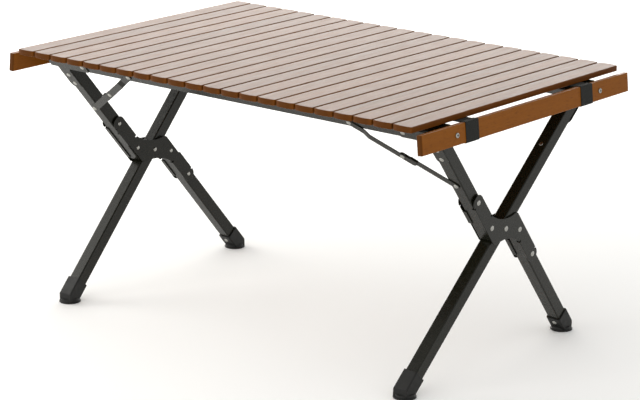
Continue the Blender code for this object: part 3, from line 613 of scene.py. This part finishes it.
BOOT_PLASTIC = moulded_polypropylene()
for own, where, way in ((front, "back", 1), (back, "front", -1)):
    axis_w = (PAD_AXIS_Z - HUB.z - own.low * own.out.z) / own.up.z
    rim = own.foot_w + BOOT_COVER
    rivet_w = own.foot_w + BOOT_RIVET_UP
    for label, side in SIDES:
        centre = own.leg(side) @ Vector((0, own.low, axis_w))
        tall = BOOT_COVER + BOOT_BELOW
        sleeve = block((SLEEVE, SLEEVE, tall), (0, 0, rim - tall / 2))
        soften(sleeve, upright_edges(sleeve), TUBE_CORNER + GAP, 4)
        place(sleeve, own.leg(side) @ Matrix.Translation((0, own.low, 0)))
        for point, normal in (((0, centre.y + way * BOOT_BACK, 0), (0, way, 0)),
                              ((0, 0, SLEEVE_LOW), (0, 0, -1))):
            bmesh.ops.bisect_plane(sleeve, geom=sleeve.verts[:] + sleeve.edges[:] + sleeve.faces[:],
                                   dist=1e-6, plane_co=point, plane_no=normal, clear_outer=True)
            bmesh.ops.holes_fill(sleeve, edges=[e for e in sleeve.edges if e.is_boundary], sides=0)
        bmesh.ops.recalc_face_normals(sleeve, faces=sleeve.faces)
        soften(sleeve, sharp_edges(sleeve, 20), BOOT_EDGE, 2)
        sleeve.normal_update()
        top = max(sleeve.faces, key=lambda f: f.calc_center_median().dot(own.up))
        bmesh.ops.inset_region(sleeve, faces=[top], thickness=BOOT_WALL - BOOT_RIM_IN)
        bmesh.ops.translate(sleeve, vec=-own.up * BOOT_POCKET, verts=extruded(sleeve, [top]))
        if top.is_valid:
            bmesh.ops.delete(sleeve, geom=[top], context="FACES_ONLY")
        pad = round_bar(PAD_R, 0, LIP_TALL, 48)
        pad.normal_update()
        crown = max(pad.faces, key=lambda f: f.calc_center_median().z)
        bmesh.ops.inset_region(pad, faces=[crown], thickness=PAD_STEP)
        raised = extruded(pad, [crown])
        bmesh.ops.translate(pad, vec=(0, 0, PAD_TALL - LIP_TALL), verts=raised)
        bmesh.ops.scale(pad, vec=(PAD_TAPER, PAD_TAPER, 1), verts=raised)
        if crown.is_valid:
            bmesh.ops.delete(pad, geom=[crown], context="FACES_ONLY")
        outer_rims = [e for e in sharp_edges(pad, 60) if e.verts[0].co.xy.length > PAD_R - PAD_STEP / 2]
        soften(pad, outer_rims, LIP_ROUND, 3)
        place(pad, Matrix.Translation((centre.x, centre.y, 0)))
        boot = make_piece("boot_" + where + "_" + label, together([sleeve, pad]), BOOT_PLASTIC)
        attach(boot, own.name + "_frame")
        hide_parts("foot_boot_" + where + "_" + label)
        # a blind rivet: its head shows on the outer face, its tail is set inside the tube
        shapes = [place(part, through(own, side, own.leg_x(rivet_w), rivet_w))
                  for part in rivet(RIVET_HEAD_R, own.low + SLEEVE / 2, own.low + HALF - TUBE_WALL,
                                    BOOT_TAIL_R, RIVET_TAIL_TALL, BOOT_SHANK_R)]
        rivets = make_piece("boot_rivet_" + where + "_" + label, together(shapes), ZINC_STEEL)
        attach(rivets, own.name + "_frame")

# Slats
# Twenty-two hardwood boards, sawn and moulded with eased edges and ends cut to a shallow curve,
# then stained reddish brown and sprayed with a satin lacquer. Gaps of 4 mm let the top roll up.
TOP_LENGTH = 1.200
TOP_DEPTH = 0.810
TOP_HEIGHT = 0.650
SLAT_COUNT = 22
SLAT_GAP = 0.004
SLAT_THICK = 0.014
SLAT_BULGE = 0.0045
BOW_OUT = 1.75 * SLAT_BULGE         # how far an end's middle corner stands out before its rounding
BOW_ROUND = 0.023                   # the length of that rounding
SLAT_CORNER = 0.0025
SLAT_EDGE = 0.0018
SLAT_PITCH = (TOP_LENGTH + SLAT_GAP) / SLAT_COUNT
SLAT_WIDE = SLAT_PITCH - SLAT_GAP
SLAT_UNDER = TOP_HEIGHT - SLAT_THICK
END_SHADE_FROM = 0.0045             # from the slat's end to where its painted end shade starts
END_SHADE_FULL = 0.0015
SLAT_DARK = "522c08"
SLAT_LIGHT = "6e3e0d"
# the colour of the painted shade at the slats' and boards' ends, not a colour of the wood
END_SHADE = "542e08"
PORE = "4a2608"


def lacquered_hardwood(name, dark, light, board_pitch, board_start):
    """Stained hardwood under satin lacquer: streaks along the board in a warm reddish brown, under a
    film that goes pale where the surroundings glance off it."""
    material, tree, shader = new_material(name)
    where = add_node(tree, "TexCoord", {}).outputs["Object"]
    apart = add_node(tree, "SeparateXYZ", {"Vector": where})
    # each board is cut from other timber: its number shifts the grain and its tone
    number = add_node(tree, "Math", {0: apart.outputs["X"], 1: board_start}, operation="SUBTRACT")
    number = add_node(tree, "Math", {0: number.outputs[0], 1: board_pitch}, operation="DIVIDE")
    number = add_node(tree, "Math", {0: number.outputs[0]}, operation="FLOOR")
    chance = add_node(tree, "TexWhiteNoise", {"W": number.outputs[0]}, noise_dimensions="1D")
    shift = add_node(tree, "VectorMath", {0: chance.outputs["Color"], 1: (3.0, 9.0, 3.0)},
                     operation="MULTIPLY")
    moved = add_node(tree, "VectorMath", {0: where, 1: shift.outputs["Vector"]}, operation="ADD")
    # growth bands 9 mm wide and half a metre long, and fibres 2 mm wide and 60 mm long
    broad = add_node(tree, "Mapping", {"Vector": moved.outputs["Vector"],
                                       "Scale": (110.0, 2.0, 110.0)})
    bands = add_node(tree, "TexNoise", {"Vector": broad.outputs["Vector"], "Scale": 1.0,
                                        "Detail": 3.0, "Distortion": 0.6})
    fine = add_node(tree, "Mapping", {"Vector": moved.outputs["Vector"],
                                      "Scale": (500.0, 16.0, 500.0)})
    fibres = add_node(tree, "TexNoise", {"Vector": fine.outputs["Vector"], "Scale": 1.0,
                                         "Detail": 4.0, "Roughness": 0.6})
    # open pores are 0.3 mm wide, and are drawn at 0.8 mm so that they show
    open_grain = add_node(tree, "Mapping", {"Vector": moved.outputs["Vector"],
                                            "Scale": (1250.0, 60.0, 1250.0)})
    pores = add_node(tree, "TexNoise", {"Vector": open_grain.outputs["Vector"], "Scale": 1.0,
                                        "Detail": 1.0})
    pore = add_node(tree, "MapRange", {"Value": pores.outputs["Fac"], "From Min": 0.62,
                                       "From Max": 0.72, "To Min": 0.0, "To Max": 0.6})
    streak = add_node(tree, "Mix", {"Factor": 0.45, "A": bands.outputs["Fac"],
                                    "B": fibres.outputs["Fac"]}, data_type="FLOAT")
    spread = add_node(tree, "MapRange", {"Value": streak.outputs["Result"], "From Min": 0.36,
                                         "From Max": 0.64, "To Min": 0.0, "To Max": 0.7})
    lift = add_node(tree, "Math", {0: chance.outputs["Value"], 1: 0.36, 2: spread.outputs["Result"]},
                    operation="MULTIPLY_ADD")
    tone = add_node(tree, "Mix", {"Factor": lift.outputs[0], "A": linear(dark),
                                  "B": linear(light)}, data_type="RGBA")
    # painted shade: the last few millimetres at each end, end faces included, are painted darker
    from_mid = add_node(tree, "Math", {0: apart.outputs["Y"]}, operation="ABSOLUTE")
    end_shade = add_node(tree, "MapRange", {"Value": from_mid.outputs[0],
                                            "From Min": TOP_DEPTH / 2 - END_SHADE_FROM,
                                            "From Max": TOP_DEPTH / 2 - END_SHADE_FULL})
    tone = add_node(tree, "Mix", {"Factor": end_shade.outputs["Result"], "A": tone.outputs["Result"],
                                  "B": linear(END_SHADE)}, data_type="RGBA")
    tone = add_node(tree, "Mix", {"Factor": pore.outputs["Result"], "A": tone.outputs["Result"],
                                  "B": linear(PORE)}, data_type="RGBA")
    rough = add_node(tree, "MapRange", {"Value": fibres.outputs["Fac"], "From Min": 0.3,
                                        "From Max": 0.7, "To Min": 0.30, "To Max": 0.42})
    bump = add_node(tree, "Bump", {"Height": fibres.outputs["Fac"], "Strength": 0.25,
                                   "Distance": 0.0003})
    shader.inputs["IOR"].default_value = 1.45
    shader.inputs["Specular IOR Level"].default_value = 0.09
    tree.links.new(tone.outputs["Result"], shader.inputs["Base Color"])
    tree.links.new(rough.outputs["Result"], shader.inputs["Roughness"])
    tree.links.new(bump.outputs["Normal"], shader.inputs["Normal"])
    return material


SLAT_WOOD = lacquered_hardwood("lacquered_hardwood_slats", SLAT_DARK, SLAT_LIGHT, SLAT_PITCH,
                               -TOP_LENGTH / 2 - SLAT_GAP / 2)
half_wide = SLAT_WIDE / 2
straight = TOP_DEPTH / 2 - SLAT_BULGE
# the middle corner of each end stands out past the bulge and is rounded back to it
far_end = [(half_wide, straight, SLAT_CORNER),
           (0, straight + BOW_OUT, BOW_ROUND),
           (-half_wide, straight, SLAT_CORNER)]
outline = far_end + [(-a, -b, length) for a, b, length in far_end]
for i in range(SLAT_COUNT):
    x = -TOP_LENGTH / 2 + half_wide + i * SLAT_PITCH
    shape = plate_shape(outline, SLAT_THICK, SLAT_EDGE)
    slat = make_piece("slat_board_%02d" % (i + 1),
                      place(shape, Matrix.Translation((x, 0, SLAT_UNDER))), SLAT_WOOD)
    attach(slat, "top")
    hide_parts("slat_%02d" % (i + 1))

# End boards
# A lacquered hardwood board stands across each end on the rails' tips, leaning in a little, with
# rounded corners and edges. It gives the strap something to hold and stops the slats sliding off.
BOARD_THICK = 0.014
BOARD_TALL = 0.045
BOARD_MID_X = 0.623
BOARD_MID_Z = SLAT_UNDER - BOARD_TALL / 2
BOARD_TILT = math.radians(5.5)
BOARD_CORNER = 0.004
BOARD_EDGE = 0.0018
BOARD_DARK = "7a450c"
BOARD_LIGHT = "834c0f"
# cells of 0.6 m from -0.9 m put each end board in its own, so that each has its own grain
END_WOOD = lacquered_hardwood("lacquered_hardwood_ends", BOARD_DARK, BOARD_LIGHT, 0.6, -0.9)
board_places = {}
for label, side in SIDES:
    thick = Vector((side * math.cos(BOARD_TILT), 0, math.sin(BOARD_TILT)))
    tall = Vector((-side * math.sin(BOARD_TILT), 0, math.cos(BOARD_TILT)))
    board_places[label] = axes(thick, (0, 1, 0), tall, (side * BOARD_MID_X, 0, BOARD_MID_Z))
    shape = block((BOARD_THICK, TOP_DEPTH, BOARD_TALL))
    soften(shape, upright_edges(shape), BOARD_CORNER, 4)
    soften(shape, sharp_edges(shape, 60), BOARD_EDGE, 3)
    board = make_piece("end_stop_board_" + label, place(shape, board_places[label]), END_WOOD)
    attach(board, "top")
    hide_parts("end_board_" + label)

# Board screws
# A pan-head screw in each board's outer face, in line with each rail. Zinc-plated steel, with a
# cross recess in its head and a shank that runs through the board.
SCREW_YS = {"front": -0.278619, "back": 0.280487}
SCREW_R = 0.0060
SCREW_TALL = 0.0028
SCREW_ROUND = 0.0016
SCREW_SHANK_R = 0.003
CROSS_REACH = 0.0036
CROSS_HALF = 0.0008
CROSS_DEEP = 0.0022
CROSS_TAPER = 0.7
for label, side in SIDES:
    for where, y in SCREW_YS.items():
        head = round_bar(SCREW_R, 0, SCREW_TALL)
        crown = [e for e in sharp_edges(head) if e.verts[0].co.z > SCREW_TALL / 2]
        soften(head, crown, SCREW_ROUND, 4)
        head.normal_update()
        top = max(head.faces, key=lambda f: f.calc_center_median().z)
        bmesh.ops.inset_region(head, faces=[top], thickness=CROSS_HALF)
        # the ring is drawn in between the four arms to make the cross
        for vert in top.verts:
            turn = math.atan2(vert.co.y, vert.co.x) % (math.pi / 2)
            off_arm = max(math.sin(min(turn, math.pi / 2 - turn)), 0.001)
            vert.co.xy = vert.co.xy.normalized() * min(CROSS_REACH, CROSS_HALF / off_arm)
        sunk = extruded(head, [top])
        bmesh.ops.translate(head, vec=(0, 0, -CROSS_DEEP), verts=sunk)
        bmesh.ops.scale(head, vec=(CROSS_TAPER, CROSS_TAPER, 1), verts=sunk)
        if top.is_valid:
            bmesh.ops.delete(head, geom=[top], context="FACES_ONLY")
        bmesh.ops.translate(head, vec=(0, 0, BOARD_THICK / 2 + GAP), verts=head.verts)
        shank = round_bar(SCREW_SHANK_R, -BOARD_THICK / 2 + GAP, BOARD_THICK / 2 + 2 * GAP, 12)
        spot = board_places[label] @ Matrix.Translation((0, y, 0)) @ TURN_X
        shape = place(together([head, shank]), spot)
        screw = make_piece("screw_" + where + "_" + label, shape, ZINC_STEEL)
        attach(screw, "top")
        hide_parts("board_screw_" + where + "_" + label)

# Webbing straps
# Two woven polypropylene bands under the slats, each looped round both end boards and sewn back
# on itself. They string the slats together, so that the top rolls up like a mat.
STRAP_WIDE = 0.048
STRAP_THICK = 0.0014
STRAP_YS = {"front": -0.2231, "back": 0.2250}
STRAP_TOP = SLAT_UNDER - GAP
STRAP_EDGE = 0.0005
BAND_HALF = 0.6128                  # the table's middle to where the band meets its loop
LOOP_CORNER = 0.0034
LOOP_EDGE = 0.0004
WEBBING_DARK = "090907"
WEBBING_LIGHT = "1b1b15"


def woven_polypropylene():
    """Black webbing: ribs across the band and fine yarns along it, dull with a faint fuzz."""
    material, tree, shader = new_material("woven_polypropylene")
    where = add_node(tree, "TexCoord", {}).outputs["Object"]
    apart = add_node(tree, "SeparateXYZ", {"Vector": where})
    # the band runs along X under the slats and along Z round the boards, so X + Z follows it
    run = add_node(tree, "Math", {0: apart.outputs["X"], 1: apart.outputs["Z"]}, operation="ADD")
    # ribs are 1.2 mm apart, and are drawn at 2.4 mm so that they show; yarns are 1.6 mm apart
    ribs = add_node(tree, "Math", {0: run.outputs[0], 1: 2 * math.pi / 0.0024}, operation="MULTIPLY")
    ribs = add_node(tree, "Math", {0: ribs.outputs[0]}, operation="SINE")
    yarns = add_node(tree, "Math", {0: apart.outputs["Y"], 1: 2 * math.pi / 0.0016},
                     operation="MULTIPLY")
    yarns = add_node(tree, "Math", {0: yarns.outputs[0]}, operation="SINE")
    weave = add_node(tree, "Math", {0: ribs.outputs[0], 1: yarns.outputs[0]}, operation="MULTIPLY")
    fuzz = add_node(tree, "TexNoise", {"Vector": where, "Scale": 1400.0, "Detail": 3.0})
    height = add_node(tree, "Math", {0: fuzz.outputs["Fac"], 1: 0.8, 2: weave.outputs[0]},
                      operation="MULTIPLY_ADD")
    # the tone follows the weave: its hollows get painted shade and its ribs painted light, and the fuzz
    # adds random tone
    share = add_node(tree, "MapRange", {"Value": height.outputs[0], "From Min": -0.8,
                                        "From Max": 1.4, "To Min": 0.0, "To Max": 1.0})
    tone = add_node(tree, "Mix", {"Factor": share.outputs["Result"], "A": linear(WEBBING_DARK),
                                  "B": linear(WEBBING_LIGHT)}, data_type="RGBA")
    bump = add_node(tree, "Bump", {"Height": height.outputs[0], "Strength": 0.6,
                                   "Distance": 0.0003})
    shader.inputs["Roughness"].default_value = 0.8
    shader.inputs["Specular IOR Level"].default_value = 0.25
    shader.inputs["Sheen Weight"].default_value = 0.04
    tree.links.new(tone.outputs["Result"], shader.inputs["Base Color"])
    tree.links.new(bump.outputs["Normal"], shader.inputs["Normal"])
    return material


WEBBING = woven_polypropylene()
wide = BOARD_THICK + 2 * GAP + 2 * STRAP_THICK
tall = BOARD_TALL + 2 * GAP + 2 * STRAP_THICK
for where, y in STRAP_YS.items():
    band = block((2 * BAND_HALF, STRAP_WIDE, STRAP_THICK), (0, y, STRAP_TOP - STRAP_THICK / 2))
    long_edges = [e for e in sharp_edges(band)
                  if abs(e.verts[0].co.x - e.verts[1].co.x) > STRAP_WIDE]
    soften(band, long_edges, STRAP_EDGE, 2)
    shapes = [band]
    for label, side in SIDES:
        loop = block((wide, tall, STRAP_WIDE - 2 * OVERLAP))
        soften(loop, upright_edges(loop), LOOP_CORNER, 4)
        loop.normal_update()
        bmesh.ops.delete(loop, geom=[f for f in loop.faces if abs(f.normal.z) > 0.9], context="FACES")
        bmesh.ops.solidify(loop, geom=loop.faces[:], thickness=STRAP_THICK)
        soften(loop, sharp_edges(loop, 60), LOOP_EDGE, 2)
        upright = axes((1, 0, 0), (0, 0, 1), (0, -1, 0), (0, y, 0))
        shapes.append(place(loop, board_places[label] @ upright))
    strap = make_piece("webbing_band_" + where, together(shapes), WEBBING)
    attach(strap, "top")
    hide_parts("webbing_strap_" + where)

# Staples
# A zinc-plated wire staple in every slat holds it to each strap from below. Their legs are driven
# into the wood, so only their crowns show.
STAPLE_WIRE = 0.0010
STAPLE_CROWN = 0.010
STAPLE_EDGE = 0.0003
shapes = []
for i in range(SLAT_COUNT):
    for y in STRAP_YS.values():
        x = -TOP_LENGTH / 2 + half_wide + i * SLAT_PITCH
        crown = block((STAPLE_WIRE, STAPLE_CROWN, STAPLE_WIRE),
                      (x, y, STRAP_TOP - STRAP_THICK - STAPLE_WIRE / 2))
        soften(crown, sharp_edges(crown), STAPLE_EDGE, 1)
        shapes.append(crown)
staples = make_piece("staple_crowns", together(shapes), ZINC_STEEL)
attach(staples, "top")

# Floor
# A plain pale studio floor that the table stands on, matt and level at z = 0. It is so wide that its
# edges stay out of the picture.
FLOOR_HALF = 30.0
grid = bmesh.new()
bmesh.ops.create_grid(grid, x_segments=1, y_segments=1, size=FLOOR_HALF)
material, tree, shader = new_material("painted_floor")
shader.inputs["Base Color"].default_value = linear("fafaf9")
shader.inputs["Roughness"].default_value = 0.9
floor = make_piece("studio_floor", grid, material)

# Light
# A white studio: soft light all round, brighter near the floor than overhead, a tall soft wall of
# light behind the far left corner that glances off the top, and soft boxes in front and on the left.
world = bpy.data.worlds.new("studio")
world.use_nodes = True
tree = world.node_tree
direction = add_node(tree, "TexCoord", {}).outputs["Generated"]
height = add_node(tree, "SeparateXYZ", {"Vector": direction})
soft = add_node(tree, "MapRange", {"Value": height.outputs["Z"], "From Min": 0.1, "From Max": 0.7,
                                   "To Min": 1.2, "To Max": 0.6}, interpolation_type="SMOOTHSTEP")
shown = add_node(tree, "LightPath", {})
level = add_node(tree, "Mix", {"Factor": shown.outputs["Is Camera Ray"], "A": soft.outputs["Result"],
                               "B": 1.0}, data_type="FLOAT")
tree.nodes["Background"].inputs["Color"].default_value = (1, 1, 1, 1)
tree.links.new(level.outputs["Result"], tree.nodes["Background"].inputs["Strength"])
bpy.context.scene.world = world
WARM_WHITE = (1.0, 0.98, 0.93)
for name, spot, aim, wide, tall, power in (
        ("light_wall", (-3.0, 3.7, 1.7), (0, 0, 0.6), 6.0, 2.6, 178),
        ("front_box", (-0.6, -3.6, 3.0), (0, 0, 0), 5.0, 2.0, 60),
        ("left_box", (-4.4, -0.8, 2.4), (0.2, 0, 0), 3.4, 2.2, 90)):
    lamp = bpy.data.lights.new(name, "AREA")
    lamp.shape = "RECTANGLE"
    lamp.size = wide
    lamp.size_y = tall
    lamp.energy = power
    lamp.color = WARM_WHITE
    light = bpy.data.objects.new(name, lamp)
    light.location = spot
    light.rotation_euler = (Vector(aim) - Vector(spot)).to_track_quat("-Z", "Y").to_euler()
    light.visible_camera = False
    bpy.context.scene.collection.objects.link(light)
bpy.context.scene.view_settings.view_transform = "Standard"

# Camera
# From the front right and a little above, with a long lens.
AZIMUTH = math.radians(39.385)
ELEVATION = math.radians(15.782)
ROLL = math.radians(0.385)
LENS = 136.4                        # millimetres, on a sensor 36 mm wide
DISTANCE = 5.98831
ASIDE = 0.01759
ABOVE = 0.28235
outward = Vector((math.sin(AZIMUTH) * math.cos(ELEVATION), -math.cos(AZIMUTH) * math.cos(ELEVATION),
                  math.sin(ELEVATION)))
right = Vector((math.cos(AZIMUTH), math.sin(AZIMUTH), 0))
upward = outward.cross(right)
turned_right = right * math.cos(ROLL) + upward * math.sin(ROLL)
turned_up = upward * math.cos(ROLL) - right * math.sin(ROLL)
lens = bpy.data.cameras.new("camera")
lens.lens = LENS
lens.sensor_width = 36.0
lens.clip_end = 100.0
camera = bpy.data.objects.new("camera", lens)
camera.matrix_world = axes(turned_right, turned_up, outward,
                           outward * DISTANCE + turned_right * ASIDE + turned_up * ABOVE)
bpy.context.scene.collection.objects.link(camera)
bpy.context.scene.camera = camera
